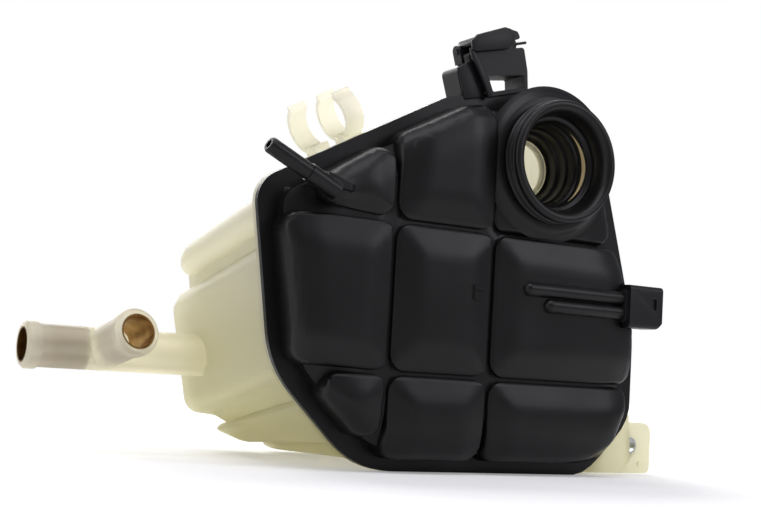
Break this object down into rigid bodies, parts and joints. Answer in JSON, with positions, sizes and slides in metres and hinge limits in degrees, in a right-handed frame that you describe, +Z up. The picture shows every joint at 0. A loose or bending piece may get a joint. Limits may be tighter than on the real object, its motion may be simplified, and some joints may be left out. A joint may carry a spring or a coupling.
{
  "type": "coolant expansion tank",
  "caption": "Coolant expansion tank of two welded shells: black ribbed face with threaded neck, deep natural rear with hose stubs, clips and lug.",
  "frame": {"origin": "middle of the bounding box at the floor, which the lower edge of the flange stands on", "axes": "+X right along the black face, +Y back through the tank, +Z up"},
  "size_m": [0.305, 0.148, 0.2102],
  "materials": {
    "black_plastic": "satin",
    "natural_plastic": "satin",
    "brass": "satin",
    "housing_plastic": "satin",
    "rubber": "matte",
    "contact_metal": "polished",
    "glass": "gloss",
    "lead_metal": "satin",
    "float_foam": "matte",
    "ferrite": "matte",
    "spring_steel": "satin",
    "zinc_steel": "satin"
  },
  "bodies": {
    "tank": {"front_shell": "black_plastic", "rear_shell": "natural_plastic", "fill_tube": "natural_plastic", "long_stub_sleeve": "brass", "short_stub_sleeve": "brass", "sensor_housing": "housing_plastic", "sensor_seal": "rubber", "upper_contact": "contact_metal", "lower_contact": "contact_metal", "reed_switch": "glass", "upper_lead": "lead_metal", "lower_lead": "lead_metal", "float_stem": "housing_plastic", "float_clip": "spring_steel", "cable_holder": "housing_plastic", "holder_pin": "housing_plastic", "lug_bush": "zinc_steel"},
    "level_float": {"float": "float_foam", "float_magnet": "ferrite"},
    "flap": {"holder_flap": "housing_plastic"}
  },
  "joints": [
    {"name": "float_slide", "type": "slide", "parent": "tank", "child": "level_float", "axis": [0, 1, 0], "range_m": [0, 0.022]},
    {"name": "flap_hinge", "type": "hinge", "parent": "tank", "child": "flap", "pos_m": [0.02, -0.039, 0.197], "axis": [0.9591, 0, 0.283], "range_deg": [-70, 0]}
  ]
}
